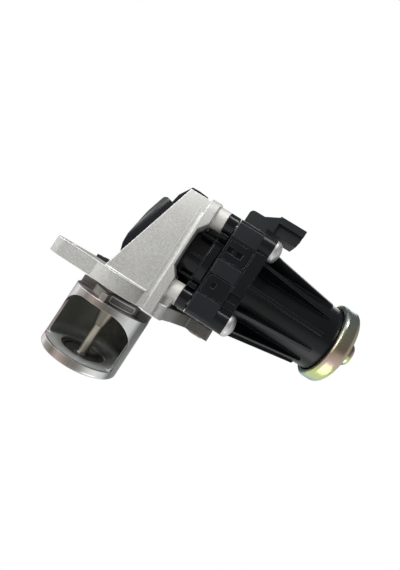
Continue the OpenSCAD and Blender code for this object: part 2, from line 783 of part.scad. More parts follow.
winding_len = 6;
module armature_windings() {
    color("peru") for (x = [armature_x - winding_len, armature_x + armature_len]) difference() {
        rod_x(x, x + winding_len, armature_r - 1.6);
        rod_x(x - 1, x + winding_len + 1, shaft_d / 2);
    }
}

commutator_len = 9;
commutator_r = 6.5;
commutator_x = armature_x - winding_len - commutator_len;
module commutator() {
    color("peru") difference() {
        rod_x(commutator_x, commutator_x + commutator_len, commutator_r);
        rod_x(commutator_x - 1, commutator_x + commutator_len + 1, shaft_d / 2);
        for (k = [0 : 7]) translate([commutator_x - 1, 0, motor_z]) rotate([45 * k + 22.5, 0, 0])
            translate([0, -0.25, commutator_r - 0.8]) cube([commutator_len + 2, 0.5, 2]);
    }
}

module bearing_plate() {
    color("lightgray") difference() {
        union() {
            rod_x(bearing_plate_x, bearing_plate_x + bearing_plate_t, gear_cavity_r);
            rod_x(bearing_plate_x, bearing_plate_x + bearing_w + 1, bearing_r + 1.5);
        }
        rod_x(bearing_plate_x - 1, bearing_plate_x + bearing_w + 2, bearing_r);
    }
}

module shaft_bearing(x) {
    color("silver") difference() {
        rod_x(x, x + bearing_w, bearing_r);
        rod_x(x - 1, x + bearing_w + 1, shaft_d / 2 + run_fit);
    }
}

module front_bearing() { shaft_bearing(bearing_plate_x); }
module rear_bearing() { shaft_bearing(rear_bearing_x); }

card_x = commutator_x + 1;
card_t = 2;
module brush_card() {
    color("darkslategray") difference() {
        union() {
            rod_x(card_x, card_x + card_t, barrel_bore_r);
            for (side = [-1, 1]) translate([card_x, -3.5, motor_z + (side > 0 ? commutator_r + 3 : -commutator_r - 13)])
                cube([7, 7, 10]);
        }
        rod_x(card_x - 1, card_x + card_t + 1, commutator_r + 1);
        for (side = [-1, 1]) translate([card_x + card_t, -2.2, motor_z + (side > 0 ? commutator_r : -commutator_r - 12)])
            cube([4, 4.4, 12]);
    }
}

module carbon_brushes() {
    color("black") for (side = [-1, 1])
        translate([card_x + card_t, -2.2, motor_z + (side > 0 ? commutator_r + 0.15 : -commutator_r - 12)])
            cube([4, 4.4, 11.85]);
}

module field_magnets() {
    color("dimgray") difference() {
        rod_x(armature_x - 2, armature_x + armature_len + 2, magnet_r + magnet_t);
        rod_x(armature_x - 3, armature_x + armature_len + 3, magnet_r);
        translate([armature_x - 3, -3, motor_z - 30]) cube([armature_len + 6, 6, 60]);
    }
}

module flux_ring() {
    color("slategray") difference() {
        rod_x(armature_x - 6, end_flange_x - 4, barrel_bore_r);
        rod_x(armature_x - 7, end_flange_x, magnet_r + magnet_t);
    }
}

module gear_housing() {
    color([0.13, 0.14, 0.16]) difference() {
        union() {
            rod_x(gear_face_x, gasket_x, gear_body_r);
            at_screws() translate([flange_x, 0, 0]) rotate([0, 90, 0]) cylinder(r = standoff_r, h = gear_flange_t);
            across_motor(flange_x, gasket_x) intersection() {
                circle(screw_offset * sqrt(2));
                for (a = [45, -45]) rotate(a) square([2 * screw_offset * sqrt(2), 2 * standoff_r], center = true);
            }
            across_motor(flange_x, gasket_x) for (a = [0, 90]) rotate(a)
                square([2 * (gear_body_r + pad_rise), 2 * pad_half_h], center = true);
            for (side = [-1, 1], z = [-pad_half_h, 0, pad_half_h])
                translate([gear_face_x + 3, side > 0 ? 0 : -gear_body_r - 1, motor_z + z - 0.6])
                    cube([flange_x - gear_face_x - 2, gear_body_r + 1, 1.2]);
        }
        rod_x(gear_face_x + gear_end_wall, gasket_x + 1, gear_cavity_r);
        rod_x(gear_face_x - 1, gear_face_x + 2, bush_d / 2 + 1);
        translate([gear_face_x, 0, motor_z]) rotate([0, 90, 0]) rotate_extrude()
            translate([gear_cavity_r, -1]) square([3, 2.2]);
        at_screws() translate([flange_x - 1, 0, 0]) rotate([0, 90, 0])
            cylinder(d = screw_d + 2 * gap, h = gear_flange_t + 2);
    }
}

module gear_housing_seal() {
    color("black") difference() {
        rod_x(gear_face_x, gear_face_x + 1.2, gear_cavity_r + 3);
        rod_x(gear_face_x - 1, gear_face_x + 2.2, gear_cavity_r);
    }
}

// Sides of the block that carry the snap pockets, as quarter turns round the motor axis
module snap_pockets() {
    high = block_half - pocket_depth;
    for (side = [0, 180]) translate([0, 0, motor_z]) rotate([side, 0, 0]) {
        for (z = [5.4, -17.4]) side_profile(-block_half - 1, -high) translate([block_x + 0.8, z])
            offset(r = 2.5, $fn = 24) offset(delta = -2.5) square([15.2, 13]);
        translate([block_x + 1.8, -high - 0.1 - 1.2, 9.6]) cube([9.8, 2.6, 4.2]);
        translate([block_x + 4.4, -high - 0.1 - 1.2, -12.4]) cube([2.8, 2.6, 4]);
    }
}

// Latch arms that lie in the upper pockets
module snap_latches() {
    for (side = [0, 180]) translate([0, 0, motor_z]) rotate([side, 0, 0]) {
        translate([block_x + 5.4, -block_half + pocket_depth - 0.9, 9.6]) cube([2.4, 3, 4.2]);
        translate([block_x + 4.8, -block_half + pocket_depth - 0.9, -12]) cube([1.2, 3, 3.2]);
    }
}

module block_solid() {
    flange_start = block_end - block_flange_w;
    across_motor(block_x, flange_start) round_square(block_half, standoff_r);
    across_motor(flange_start, block_end) round_square(block_half - block_step, standoff_r);
    at_screws() translate([flange_start - 1, 0, 0]) rotate([0, 90, 0])
        cylinder(r = standoff_r, h = block_flange_w + 1);
}

module barrel_rib() {
    side_profile(-barrel_rib_t / 2, barrel_rib_t / 2) polygon([
        [block_end - 1, barrel_bore_r + 1], [block_end - 1, block_half + rib_rise],
        [block_end + rib_len - 0.8, barrel_r + rib_end_rise],
        [block_end + rib_len, barrel_r - 0.2], [block_end + rib_len, barrel_bore_r + 1]
    ]);
}

module motor_housing() {
    color([0.12, 0.13, 0.14]) {
        difference() {
            union() {
                difference() {
                    block_solid();
                    snap_pockets();
                }
                snap_latches();
                turned_on_motor([
                    [barrel_bore_r - 1, block_end - 1], [barrel_r + 3, block_end - 1],
                    [barrel_r + 0.8, block_end + 8], [barrel_r, end_flange_x - 6], [barrel_r, end_flange_x],
                    [end_flange_r, end_flange_x], [end_flange_r, end_flange_x + end_flange_t],
                    [barrel_bore_r - 1, end_flange_x + end_flange_t]
                ]);
                for (k = [0 : rib_count - 1]) translate([0, 0, motor_z]) rotate([360 * k / rib_count, 0, 0])
                    barrel_rib();
            }
            rod_x(block_x - 1, end_flange_x + end_flange_t + 1, barrel_bore_r);
            at_screws() translate([block_x - 1, 0, 0]) rotate([0, 90, 0])
                cylinder(d = screw_d + 2 * gap, h = block_w + 2);
        }
    }
}

module motor_gasket() {
    color("black") difference() {
        across_motor(gasket_x, block_x) {
            circle(gear_body_r - 0.5);
            for (a = [45, -45]) rotate(a) square([2 * screw_offset * sqrt(2), 2 * standoff_r - 3], center = true);
        }
        rod_x(gasket_x - 1, block_x + 1, gear_cavity_r + 0.8);
        at_screws() translate([gasket_x - 1, 0, 0]) rotate([0, 90, 0]) cylinder(d = screw_d + 2 * gap, h = 3);
    }
}

conn_z = motor_z + block_half;
socket_x = block_x + socket_start;
module connector_socket() {
    base_top = conn_z + conn_base_h;
    top = conn_z + socket_top;
    low = top - socket_h;
    side_w = conn_half_w - 2;
    color([0.15, 0.16, 0.17]) difference() {
        union() {
            side_profile(-conn_half_w, conn_half_w) polygon(concat(
                [[block_x, conn_z], [block_x, base_top - 3]],
                [for (a = [0 : 22.5 : 90]) [block_x + 3 - 3 * cos(a), base_top - 3 + 3 * sin(a)]],
                [[block_x + 10, base_top], [socket_x, top - 0.4], [socket_x, low], [block_x + conn_base_len, low],
                 [block_x + conn_base_len, conn_z]]
            ));
            side_profile(-side_w, side_w) polygon([
                [socket_x - 1, low], [socket_x + socket_len - 0.8, low], [socket_x + socket_len, low + 4],
                [socket_x + socket_len, top], [socket_x - 1, top]
            ]);
            translate([socket_x - 1, -conn_half_w, top - 4.6]) cube([socket_len + 1, 2 * conn_half_w, 4.6]);
        }
        translate([socket_x + 3, -side_w + socket_wall, low + socket_wall])
            cube([socket_len, 2 * (side_w - socket_wall), socket_h - 2 * socket_wall]);
        contact_pin_solids(0);
    }
}

module contact_pin_solids(extra) {
    z = conn_z + socket_top - socket_h / 2;
    for (k = [0 : pin_count - 1]) translate([socket_x - 2, (k - (pin_count - 1) / 2) * pin_pitch - 0.4, z - 0.4])
        cube([12, 0.8, 0.8]);
}

module contact_pins() {
    color("goldenrod") contact_pin_solids(0);
}

// Profile of the pressed cap: rolled lip, side, round shoulder, face and bearing boss
module end_cap() {
    side_x = cap_face_x - cap_shoulder;
    inner = cap_r - cap_sheet;
    boss_end = cap_face_x + cap_boss_len;
    color("goldenrod") turned_on_motor(concat(
        [[cap_mouth_r, cap_lip_x], [cap_mouth_r + 1.2, cap_lip_x - 0.2]],
        [for (a = [0 : 30 : 90]) [cap_r - 1.9 + 1.9 * sin(a), cap_lip_x + 1.7 - 1.9 * cos(a)]],
        [for (a = [0 : 15 : 90]) [cap_r - cap_shoulder + cap_shoulder * cos(a), side_x + cap_shoulder * sin(a)]],
        [[cap_boss_r, cap_face_x]],
        [for (a = [0 : 30 : 90]) [cap_boss_r - 1.6 + 1.6 * cos(a), boss_end - 1.6 + 1.6 * sin(a)]],
        [[0, boss_end], [0, boss_end - cap_sheet], [bearing_r, boss_end - cap_sheet - 0.6], [bearing_r, cap_face_x - cap_sheet]],
        [for (a = [90 : -15 : 0]) [cap_r - cap_shoulder + (cap_shoulder - cap_sheet) * cos(a),
            side_x + (cap_shoulder - cap_sheet) * sin(a)]],
        [[inner, end_flange_x], [cap_mouth_r, end_flange_x]]
    ));
}

module housing_screws() {
    color("silver") at_screws() translate([plate_right - 1.5, 0, 0]) rotate([0, 90, 0]) {
        cylinder(d = screw_d, h = block_end - plate_right + 2);
        translate([0, 0, block_end - plate_right + 1.5]) rotate_extrude() polygon(concat(
            [[0, 0], [screw_head_d / 2, 0], [screw_head_d / 2, 1.2]],
            [for (a = [15 : 15 : 90]) [screw_head_d / 2 * cos(a), 1.2 + (screw_head_h - 1.2) * sin(a)]]
        ));
    }
}

// Side profile of the cover's dome, as [depth, height] along the leaning joint face
function cover_profile(t) = let(n = cover_dome_len) [
    [rim_in, 0.18 * n + t], [1.2 - t, 0.18 * n + t], [0.56 * cover_mid - t, 0.28 * n + t / 2],
    [0.82 * cover_mid - t, 0.39 * n], [cover_mid - t, 0.57 * n], [cover_deep - 0.5 - t, 0.76 * n],
    [cover_deep - t, 0.9 * n - t / 2], [cover_deep - 0.8 - t, n - 1.5 - t], [cover_deep - 3.8 - t, n - t],
    [rim_in, n - t]
];

module cover_plan(inset) {
    r = cover_round - inset;
    half = cover_half_w - inset;
    deep = cover_deep - inset;
    translate([rim_in - 1, -half]) square([deep + 1 - rim_in - r, 2 * half]);
    translate([rim_in - 1, -half + r]) square([deep + 1 - rim_in, 2 * (half - r)]);
    for (side = [-1, 1]) translate([deep - r, side * (half - r)]) circle(r);
}

module dome_solid(inset) {
    intersection() {
        side_profile(-cover_half_w + inset, cover_half_w - inset) polygon(cover_profile(inset));
        translate([0, 0, -2]) linear_extrude(cover_dome_len + 4) cover_plan(inset);
    }
}

rim_in = gasket_t - cover_recess;
rim_out = rim_in + cover_rim_t;
head_top = rim_end + cover_lip + cover_head;
board_depth = cover_deep - cover_wall - 1.8;
board_s = cover_dome_len - cover_wall - 1.5;
module gear_cover() {
    color([0.1, 0.11, 0.12]) on_joint() difference() {
        union() {
            translate([rim_in, -rim_half, rim_start]) cube([cover_rim_t, 2 * rim_half, rim_end - rim_start]);
            dome_solid(0);
            side_profile(-13.4, 12) polygon([
                [rim_in + 0.5, cover_dome_len - 1], [4.7, cover_dome_len - 1], [5.5, cover_dome_len + 7],
                [4.8, head_top - 8.5], [2.9, head_top - 1.6], [-2.2, head_top], [-8.7, head_top + 1.2],
                [-8.7, head_top - 2], [0.25, head_top - 4.4], [0.25, rim_end], [rim_in + 0.5, rim_end]
            ]);
            translate([rim_in + 0.6, 8, rim_start]) cube([2.6, 8, 3]);
            translate([0.3, 8, -0.8]) cube([1.8, 8, 4]);
            translate([0.3, 8, -0.8]) rotate([0, joint_lean, 0]) cube([14, 8, 2.2]);
        }
        difference() {
            translate([-0.1, 0, 0]) dome_solid(cover_wall);
            for (y = [-6, 6]) translate([board_depth, y, board_s - board_len / 2]) rotate([0, 90, 0])
                cylinder(r = 2, h = 8, $fn = 32);
        }
        cover_screw_places() translate([rim_in - 1, 0, 0]) rotate([0, 90, 0])
            cylinder(d = cover_screw_d + 2 * gap, h = 8, $fn = 32);
        cover_screw_places() translate([rim_out - 1.4, 0, 0]) rotate([0, 90, 0]) {
            cylinder(d1 = cover_screw_d + 2 * gap, d2 = 2 * cover_screw_d + 2 * gap, h = 1.4, $fn = 32);
            translate([0, 0, 1.39]) cylinder(r = cover_screw_d + gap, h = 20, $fn = 32);
        }
    }
}

module cover_gasket() {
    color("black") on_joint() difference() {
        translate([-cover_recess, -rim_half, rim_start]) cube([gasket_t, 2 * rim_half, rim_end - rim_start]);
        translate([-cover_recess - 1, -wall_y + wall_t, rim_start + 1.6])
            cube([gasket_t + 2, 2 * (wall_y - wall_t), rim_end - rim_start - 2.8]);
        cover_screw_places() translate([-cover_recess - 1, 0, 0]) rotate([0, 90, 0])
            cylinder(d = cover_screw_d + 2 * gap, h = 4, $fn = 32);
    }
}

module cover_screws() {
    color("silver") on_joint() cover_screw_places() rotate([0, 90, 0]) {
        translate([0, 0, -10]) cylinder(d = cover_screw_d, h = 10 + rim_out - 1.4, $fn = 32);
        translate([0, 0, rim_out - 1.4]) cylinder(d1 = cover_screw_d, d2 = 2 * cover_screw_d, h = 1.3, $fn = 32);
    }
}

module sensor_board() {
    color("darkgreen") on_joint() translate([board_depth - 1.2, -board_w / 2, board_s - board_len])
        cube([1.2, board_w, board_len]);
}

valve_housing();
valve_cage();
seat_ring();
stem_guide();
stem_seal();
spring_seat();
return_spring();
valve_stem();
valve_head();
crosshead();
sensor_magnet();
output_crank();
crank_roller();
output_bushes();
planet_carrier();
planet_pins();
planet_gear_1();
planet_gear_2();
planet_gear_3();
ring_gear();
sun_pinion();
rotor_shaft();
armature_core();
armature_windings();
commutator();
bearing_plate();
front_bearing();
rear_bearing();
brush_card();
carbon_brushes();
field_magnets();
flux_ring();
gear_housing();
gear_housing_seal();
motor_housing();
motor_gasket();
connector_socket();
contact_pins();
end_cap();
housing_screws();
gear_cover();
cover_gasket();
cover_screws();
sensor_board();
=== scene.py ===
"""Looks of an electric exhaust gas recirculation valve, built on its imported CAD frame.

Materials are in metres. The profiles of the added pieces are in millimetres until piece() makes the mesh."""
import math

import bmesh
import bpy
import numpy as np
from mathutils import Matrix, Vector


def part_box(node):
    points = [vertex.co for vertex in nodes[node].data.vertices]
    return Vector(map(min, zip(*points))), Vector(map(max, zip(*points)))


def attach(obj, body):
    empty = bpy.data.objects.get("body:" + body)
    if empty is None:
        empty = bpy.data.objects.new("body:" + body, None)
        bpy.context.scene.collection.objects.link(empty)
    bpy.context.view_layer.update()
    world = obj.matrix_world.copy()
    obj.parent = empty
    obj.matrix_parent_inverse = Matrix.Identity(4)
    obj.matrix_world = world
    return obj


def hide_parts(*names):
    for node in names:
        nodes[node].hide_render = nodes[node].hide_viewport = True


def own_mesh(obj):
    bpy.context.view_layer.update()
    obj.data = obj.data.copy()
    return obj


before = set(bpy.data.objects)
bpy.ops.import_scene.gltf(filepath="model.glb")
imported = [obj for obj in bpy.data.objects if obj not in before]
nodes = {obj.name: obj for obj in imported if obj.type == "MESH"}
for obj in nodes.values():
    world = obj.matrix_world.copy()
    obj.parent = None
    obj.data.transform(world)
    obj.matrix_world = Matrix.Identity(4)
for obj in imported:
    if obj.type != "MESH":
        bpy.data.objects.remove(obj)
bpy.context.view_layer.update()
scene = bpy.context.scene
scene.view_settings.view_transform = "Standard"

# Camera: a phone held close in front of the window side and turned clockwise, so the valve
# leans over to the left in the picture.
azimuth, elevation, roll = math.radians(4.0876), math.radians(-2.499), math.radians(32.6435)
ahead = Vector((
    -math.sin(azimuth) * math.cos(elevation), math.cos(azimuth) * math.cos(elevation), -math.sin(elevation)))
level = Vector((math.cos(azimuth), math.sin(azimuth), 0.0))
upright = level.cross(ahead)
across = level * math.cos(roll) + upright * math.sin(roll)
over = -level * math.sin(roll) + upright * math.cos(roll)
camera = bpy.data.objects.new("camera", bpy.data.cameras.new("camera"))
camera.data.lens, camera.data.sensor_width = 19.906, 36.0
camera.data.clip_start = 0.01
turn = Matrix((across, over, -ahead)).transposed().to_4x4()
camera.matrix_world = Matrix.Translation((0.05808, -0.21235, 0.02301)) @ turn
scene.collection.objects.link(camera)
scene.camera = camera


# Studio: a white room with a floor far below. Soft boxes stand above, at the left and behind, and a
# weak one stands low at the right.
class Sock:
    """A shader socket in Python expressions: each operator adds the Math node that it stands for."""

    def __init__(self, tree, out):
        self.tree, self.out = tree, out

    def math(self, operation, *values):
        node = self.tree.nodes.new("ShaderNodeMath")
        node.operation = operation
        for slot, value in zip(node.inputs, values):
            plug(self.tree, slot, value)
        return Sock(self.tree, node.outputs[0])

    def __add__(self, other):
        return self.math("ADD", self, other)

    def __sub__(self, other):
        return self.math("SUBTRACT", self, other)

    def __rsub__(self, other):
        return self.math("SUBTRACT", other, self)

    def __mul__(self, other):
        return self.math("MULTIPLY", self, other)

    def __truediv__(self, other):
        return self.math("DIVIDE", self, other)

    def __pow__(self, other):
        return self.math("POWER", self, other)

    def __abs__(self):
        return self.math("ABSOLUTE", self)

    def clamp(self):
        return self.math("MINIMUM", self.math("MAXIMUM", self, 0.0), 1.0)

    def above(self, edge, soft):
        """1 where the value lies above the edge, 0 below it, with a ramp of the given width between."""
        return ((self - (edge - soft / 2)) / soft).clamp()

    def below(self, edge, soft):
        """The same ramp turned round: 1 below the edge and 0 above it."""
        return 1 - self.above(edge, soft)

    __radd__, __rmul__ = __add__, __mul__


def plug(tree, slot, value):
    if isinstance(value, Sock):
        tree.links.new(value.out, slot)
    elif slot.type == "RGBA" and len(value) == 3:
        slot.default_value = (*value, 1.0)
    else:
        slot.default_value = value


class Finish:
    """A material whose nodes are made one by one, each from its type, its settings and its sockets."""

    def __init__(self, name, block=None):
        self.block = block or bpy.data.materials.new(name)
        self.block.use_nodes = True
        self.tree = self.block.node_tree
        self.tree.nodes.clear()

    def node(self, kind, settings=None, sockets=None, out=0):
        made = self.tree.nodes.new("ShaderNode" + kind)
        for key, value in (settings or {}).items():
            if key == "stops":
                stops = made.color_ramp.elements
                stops.remove(stops[1])
                stops[0].color = (*value[0][1], 1.0)
                for place, colour in value[1:]:
                    stops.new(place).color = (*colour, 1.0)
            else:
                setattr(made, key, value)
        for key, value in (sockets or {}).items():
            plug(self.tree, made.inputs[key], value)
        return Sock(self.tree, made.outputs[out])

    def place(self, out=3):
        """The three object coordinates, in metres, or in a world the direction, with out at 0."""
        self.point = self.node("TexCoord", out=out)
        split = self.node("SeparateXYZ", None, {0: self.point})
        return [Sock(self.tree, split.out.node.outputs[k]) for k in range(3)]

    def noise(self, scale, detail=2.0, rough=0.5, stretch=None):
        """Fractal noise of that many lumps per metre, drawn out along an axis by a Mapping node."""
        vector = self.point
        if stretch:
            vector = self.node("Mapping", None, {"Vector": self.point, "Scale": stretch})
        sockets = {"Vector": vector, "Scale": scale, "Detail": detail, "Roughness": rough}
        return self.node("TexNoise", None, sockets)

    def blend(self, share, low, high):
        return self.node("Mix", {"data_type": "RGBA"}, {0: share, 6: low, 7: high}, out=2)

    def edges(self, radius):
        """1 at sharp edges and in sharp corners and 0 on even faces: how far a Bevel node of that
        radius turns the normal."""
        self.bevel = self.node("Bevel", {"samples": 8}, {"Radius": radius})
        face = self.node("NewGeometry", out=1)
        same = self.node("VectorMath", {"operation": "DOT_PRODUCT"}, {0: self.bevel, 1: face}, out=1)
        return (1 - same).above(0.045, 0.07)

    def bump(self, height, depth, edge=0.0, normal=None):
        """Relief of the given depth, over the edges that a Bevel node rounds to that radius."""
        if edge:
            normal = self.node("Bevel", {"samples": 4}, {"Radius": edge})
        links = {"Height": height, "Distance": depth, "Strength": 1.0}
        if normal:
            links["Normal"] = normal
        return self.node("Bump", None, links)

    def surface(self, **sockets):
        names = {key.replace("_", " "): value for key, value in sockets.items()}
        return self.end(self.node("BsdfPrincipled", None, names))

    def end(self, shader, kind="ShaderNodeOutputMaterial"):
        self.tree.links.new(shader.out, self.tree.nodes.new(kind).inputs[0])
        return self.block


def dress(finish, *names):
    """Puts a finish on CAD nodes in place of their plain slot."""
    for name in names:
        mesh = nodes[name].data
        mesh.materials.clear()
        mesh.materials.append(finish)


room = bpy.data.worlds.new("room")
scene.world = room
sky = Finish("room", room)
ray = sky.tree.nodes.new("ShaderNodeLightPath")
seen = Sock(sky.tree, ray.outputs["Is Camera Ray"])
shiny = Sock(sky.tree, ray.outputs["Is Glossy Ray"])
through = Sock(sky.tree, ray.outputs["Is Transmission Ray"])
side, depth, height = sky.place(0)
front = (depth * -1.0).above(0.60, 0.8)
walls = abs(side).above(0.78, 0.36)
upper_left = (height * 0.7 - side * 0.7).above(0.86, 0.26)
mirror = 0.08 + front * 0.15 + walls * 0.62 + upper_left * 0.45
strength = (seen + through).clamp() + shiny * mirror * (1 - seen)
strength = strength.math("MAXIMUM", strength, 0.13)
sky.end(sky.node("Background", None, {"Color": (1.0, 1.0, 1.0), "Strength": strength}), "ShaderNodeOutputWorld")

for name, spot, size, watts in (
    ("box_key", (-0.27, -0.34, 0.33), 0.22, 1.95),
    ("box_left", (-0.55, -0.16, 0.10), 0.30, 0.9),
    ("box_low", (0.23, -0.10, -0.27), 0.20, 0.20),
    ("box_back", (0.20, 0.50, 0.40), 0.40, 1.0),
    ("box_top", (0.05, -0.20, 0.50), 0.12, 0.55),
):
    lamp = bpy.data.objects.new(name, bpy.data.lights.new(name, "AREA"))
    lamp.data.size, lamp.data.energy = size, watts
    lamp.location = spot
    lamp.rotation_euler = (Vector((0.04, 0.0, 0.02)) - lamp.location).to_track_quat("-Z", "Y").to_euler()
    scene.collection.objects.link(lamp)

span, ground_height = 1.5, -0.3
corners = [(-span, -span), (span, -span), (span, span), (-span, span)]
floor_mesh = bpy.data.meshes.new("floor")
floor_mesh.from_pydata([(*corner, ground_height) for corner in corners], [], [(0, 1, 2, 3)])
floor = bpy.data.objects.new("floor", floor_mesh)
scene.collection.objects.link(floor)
paper = Finish("floor_paper")
ray = paper.tree.nodes.new("ShaderNodeLightPath")
back = Sock(paper.tree, paper.tree.nodes.new("ShaderNodeNewGeometry").outputs["Backfacing"])
plain = paper.node("BsdfDiffuse", None, {"Color": (0.8, 0.8, 0.8)})
white = paper.node("Emission", None, {"Color": (1.0, 1.0, 1.0)})
clear = paper.node("BsdfTransparent")
bright = Sock(paper.tree, ray.outputs["Is Camera Ray"]) + Sock(paper.tree, ray.outputs["Is Glossy Ray"]) * 0.6
lit = paper.node("MixShader", None, {0: bright, 1: plain, 2: white})
floor_mesh.materials.append(paper.end(paper.node("MixShader", None, {0: back, 1: lit, 2: clear})))


# Valve housing: one aluminium casting, blasted with coarse sand, so it is a warm grey that
# sparkles a little. The edges are lightened for wear from handling and for a painted highlight, and the
# bottom face is machined. Painted light lightens the standoffs and the casting's top, a painted shadow
# darkens the rear ear, and a dark line of painted shade runs along the step where the wedge's wall meets the
# motor plate.
blasted = Finish("blasted_casting")
x, y, z = blasted.place()
grain, specks = blasted.noise(2600.0, 2.0), blasted.noise(1150.0, 2.0, 0.7)
cloud = blasted.noise(60.0, 3.0)
ear_side, ear_top = 0.041, 0.014
posts_side, posts_foot, painted_light_height = 0.0310, 0.016, 0.070
joint_side, joint_half_width, joint_top = 0.0244, 0.0335, 0.0745
machined = abs(z).below(0.00012, 0.00002)
edge_wear_and_highlight = blasted.edges(0.0008)
tone = blasted.blend(cloud, (0.40, 0.395, 0.375), (0.52, 0.515, 0.49))
tone = blasted.blend(((specks - 0.34) * 3.0).clamp() * 0.62, tone, (0.74, 0.74, 0.71))
# Painted shadow: the rear ear, low beside the motor block, is darkened where shade falls on it.
ear_painted_shadow = x.above(ear_side, 0.004) * z.below(ear_top, 0.004)
tone = blasted.blend(ear_painted_shadow * 0.85, tone, (0.21, 0.20, 0.175))
# Painted light: the standoffs and the casting round them, beyond the motor plate's edge, are lightened where
# light falls on them.
posts_painted_light = x.above(posts_side, 0.0006) * z.above(posts_foot, 0.001)
tone = blasted.blend(posts_painted_light * 0.6, tone, (0.84, 0.82, 0.76))
# Painted light: the casting is lightened towards its top, where light falls from above.
tone = blasted.blend(z.above(painted_light_height, 0.022) * 0.5, tone, (0.86, 0.86, 0.83))
# Edges lightened: wear from handling and a painted highlight.
tone = blasted.blend(edge_wear_and_highlight * 0.8, tone, (0.90, 0.90, 0.88))
# Painted shade: a dark line along the step where the wedge's wall meets the motor plate.
painted_shade_line = abs(x - joint_side).below(0.0003, 0.0002) * abs(y).below(joint_half_width, 0.001)
tone = blasted.blend(painted_shade_line * z.below(joint_top, 0.002) * 0.85, tone, (0.07, 0.065, 0.06))
dress(blasted.surface(
    Base_Color=blasted.blend(machined, tone, (0.74, 0.74, 0.73)),
    Metallic=0.5,
    Roughness=0.60 - machined * 0.3 - edge_wear_and_highlight * 0.22,
    Normal=blasted.bump(grain + specks * 1.5, 0.00005, normal=blasted.bevel),
), "valve_housing")

# Valve cage: aluminium turned from bar on a lathe and milled open at the window. The tool left
# fine rings outside, with a faint tint from heat, and exhaust gas has blackened the inside. The light
# and dark bands round the outside are painted reflections, set by the angle round the axis. Inside,
# the left side and the curved foot round the nose are lightened with painted light, and the edges for wear and
# painted highlight.
turned = Finish("turned_cage")
x, y, z = turned.place()
bore_radius, roof, neck_foot = 0.02575, -0.0128, -0.0084
fillet_radius, fillet_top = 0.0185, -0.0420
rings = turned.noise(900.0, 2.0, stretch=(0.02, 0.02, 1.0))
around = y.math("ARCTAN2", y, x)
line = {"noise_dimensions": "1D"}
wave = turned.node("TexNoise", line, {"W": around, "Scale": 3.4, "Detail": 3.0, "Roughness": 0.5})
tint = turned.node("TexNoise", line, {"W": around + 7.0, "Scale": 5.0, "Detail": 3.0})
radius = (x * x + y * y) ** 0.5
inside = radius.below(bore_radius, 0.0002) * z.below(roof, 0.0006)
# Painted reflection: light and dark streaks by the angle round the axis.
painted_reflection_streak = ((wave - 0.34) * 3.0).clamp()
shade = turned.blend(painted_reflection_streak, (0.40, 0.395, 0.385), (0.84, 0.85, 0.84))
shade = turned.blend(((tint - 0.52) * 5.0).clamp() * 0.4, shade, (0.62, 0.47, 0.46))
# Painted reflection: bands of light and dark set by the angle round the axis.
painted_reflection_bands = turned.node("ValToRGB", {"stops": [
    (0.0, (0.45, 0.44, 0.43)), (0.08, (0.40, 0.25, 0.26)), (0.10, (0.95, 0.92, 0.93)),
    (0.13, (0.95, 0.92, 0.93)), (0.15, (0.42, 0.39, 0.36)), (0.19, (0.17, 0.145, 0.12)),
    (0.225, (0.56, 0.44, 0.38)), (0.28, (0.17, 0.145, 0.12)), (0.325, (0.40, 0.40, 0.38)),
    (0.375, (0.90, 0.92, 0.90)), (0.41, (0.85, 0.86, 0.85)), (0.44, (0.14, 0.15, 0.15)),
    (0.52, (0.26, 0.26, 0.26)), (0.62, (0.70, 0.70, 0.68)), (0.80, (0.42, 0.38, 0.35)),
    (1.0, (0.45, 0.44, 0.43))]}, {"Fac": around / (2 * math.pi) + (wave - 0.5) * 0.03 + 0.5})
shade = turned.blend(0.85, shade, painted_reflection_bands)
neck = z.above(neck_foot, 0.0003)
browning = turned.blend(turned.noise(200.0, 3.0), (0.12, 0.115, 0.10), (0.42, 0.39, 0.35))
shade = turned.blend(neck * 0.8, shade, browning)
soot = turned.noise(260.0, 4.0, 0.65)
inner = turned.blend(soot, (0.06, 0.058, 0.05), (0.27, 0.26, 0.225))
# Painted light: the inside is lightened on its left side.
inner = turned.blend(x.below(-0.009, 0.018) * 0.7, inner, (0.52, 0.54, 0.50))
# Painted highlight: the curved foot of the chamber, round the nose, is lightened.
fillet_painted_highlight = radius.above(fillet_radius, 0.007) * z.below(fillet_top, 0.004)
inner = turned.blend(fillet_painted_highlight * 0.9, inner, (0.62, 0.65, 0.63))
edge_wear_and_highlight = turned.edges(0.0005)
# Edges lightened: wear and a painted highlight.
tone = turned.blend(edge_wear_and_highlight * 0.6, turned.blend(inside, shade, inner), (0.80, 0.81, 0.80))
dress(turned.surface(
    Base_Color=tone,
    Metallic=0.9 - inside * 0.4 - neck * 0.3 - edge_wear_and_highlight * 0.4,
    Roughness=0.24 + rings * 0.14 + inside * 0.22 + neck * 0.2,
    Normal=turned.bump(rings, 0.00005, normal=turned.bevel),
), "valve_cage")

# Poppet valve: a steel stem finished by grinding, in its guide, both browned by hot exhaust gas. Light
# and dark bands round the stem are painted highlight and shade. The turned head closes on a ring
# pressed into the cage's nose, and both carry a dark film of soot.
browned = Finish("browned_steel")
x, y, z = browned.place()
guide_end = -0.0275
soot = browned.noise(300.0, 3.0, stretch=(1.0, 1.0, 0.3))
around = y.math("ARCTAN2", y, x)
